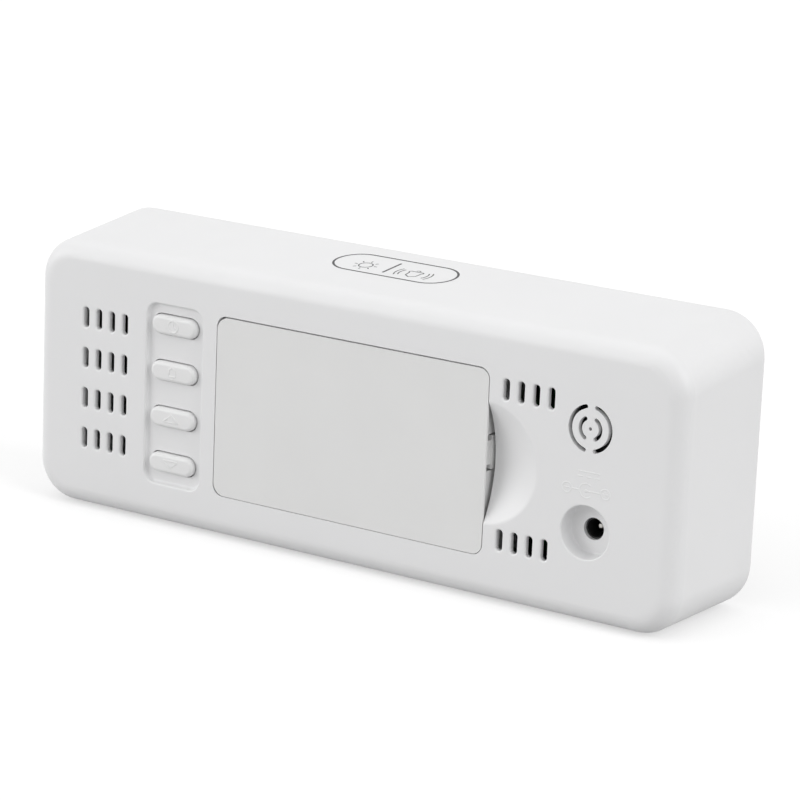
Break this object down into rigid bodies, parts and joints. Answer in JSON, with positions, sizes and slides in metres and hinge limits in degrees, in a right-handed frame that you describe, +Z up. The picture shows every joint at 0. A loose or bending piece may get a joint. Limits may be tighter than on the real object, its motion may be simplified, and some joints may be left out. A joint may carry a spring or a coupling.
{
  "type": "projection alarm clock",
  "caption": "White bedside alarm clock in a rounded tub housing, with push keys, a hinged battery door, vents, sounder grille and power socket on its back.",
  "frame": {"origin": "centre of the footprint, on the surface that the feet stand on", "axes": "+X along the width, towards the keys; +Y towards the back face; +Z up"},
  "size_m": [0.1548, 0.0318, 0.059],
  "materials": {
    "white_shell": "white moulded ABS, satin gloss",
    "door_plastic": "white moulded ABS, slightly warmer and more matte than the shell",
    "key_plastic": "white moulded ABS keys",
    "front_acrylic": "dark tinted polished acrylic",
    "black_plastic": "black moulded plastic",
    "switch_case": "black switch case",
    "plunger_plastic": "dark switch plunger",
    "adhesive": "black adhesive foam",
    "display_glass": "display glass with polariser",
    "light_guide": "milky clear acrylic",
    "grey_rubber": "grey rubber",
    "circuit_board": "green circuit board laminate",
    "resin": "black resin dome",
    "can_metal": "drawn metal can",
    "contact_metal": "nickel-plated spring steel",
    "screw_steel": "zinc-plated steel"
  },
  "bodies": {
    "clock": {"backlight_lamp_left": "light_guide", "backlight_lamp_right": "light_guide", "board_screws": "screw_steel", "bridge_plate_a": "contact_metal", "bridge_plate_b": "contact_metal", "buzzer": "black_plastic", "capacitor": "can_metal", "connector_strip": "grey_rubber", "contact_spring_1": "contact_metal", "contact_spring_2": "contact_metal", "contact_spring_3": "contact_metal", "dc_jack": "black_plastic", "display_frame": "black_plastic", "foot_1": "grey_rubber", "foot_2": "grey_rubber", "foot_3": "grey_rubber", "foot_4": "grey_rubber", "frame_screws": "screw_steel", "front_lens": "front_acrylic", "jack_pin": "contact_metal", "key_board": "circuit_board", "key_board_screws": "screw_steel", "key_header": "black_plastic", "key_switch_1": "switch_case", "key_switch_2": "switch_case", "key_switch_3": "switch_case", "key_switch_4": "switch_case", "lcd_panel": "display_glass", "lens_tape": "adhesive", "light_guide": "light_guide", "main_board": "circuit_board", "power_board": "circuit_board", "power_board_screws": "screw_steel", "power_header": "black_plastic", "processor": "resin", "quartz_crystal": "can_metal", "rear_housing": "white_shell", "terminal_negative": "contact_metal", "terminal_positive": "contact_metal", "touch_board": "circuit_board", "touch_pins": "contact_metal"},
    "battery_door": {"battery_door": "door_plastic"},
    "key_time": {"key_time": "key_plastic", "switch_plunger_1": "plunger_plastic"},
    "key_alarm": {"key_alarm": "key_plastic", "switch_plunger_2": "plunger_plastic"},
    "key_up": {"key_up": "key_plastic", "switch_plunger_3": "plunger_plastic"},
    "key_down": {"key_down": "key_plastic", "switch_plunger_4": "plunger_plastic"}
  },
  "joints": [
    {"name": "battery_door_hinge", "type": "hinge", "parent": "clock", "child": "battery_door", "pos_m": [0.0302, 0.0159, 0.02803], "axis": [0, 0, -1], "range_deg": [0, 40]},
    {"name": "key_time_press", "type": "slide", "parent": "clock", "child": "key_time", "axis": [0, -1, 0], "range_m": [0, 0.0003], "stiffness_N_per_m": 1500, "springref_m": -0.0005},
    {"name": "key_alarm_press", "type": "slide", "parent": "clock", "child": "key_alarm", "axis": [0, -1, 0], "range_m": [0, 0.0003], "stiffness_N_per_m": 1500, "springref_m": -0.0005},
    {"name": "key_up_press", "type": "slide", "parent": "clock", "child": "key_up", "axis": [0, -1, 0], "range_m": [0, 0.0003], "stiffness_N_per_m": 1500, "springref_m": -0.0005},
    {"name": "key_down_press", "type": "slide", "parent": "clock", "child": "key_down", "axis": [0, -1, 0], "range_m": [0, 0.0003], "stiffness_N_per_m": 1500, "springref_m": -0.0005}
  ]
}
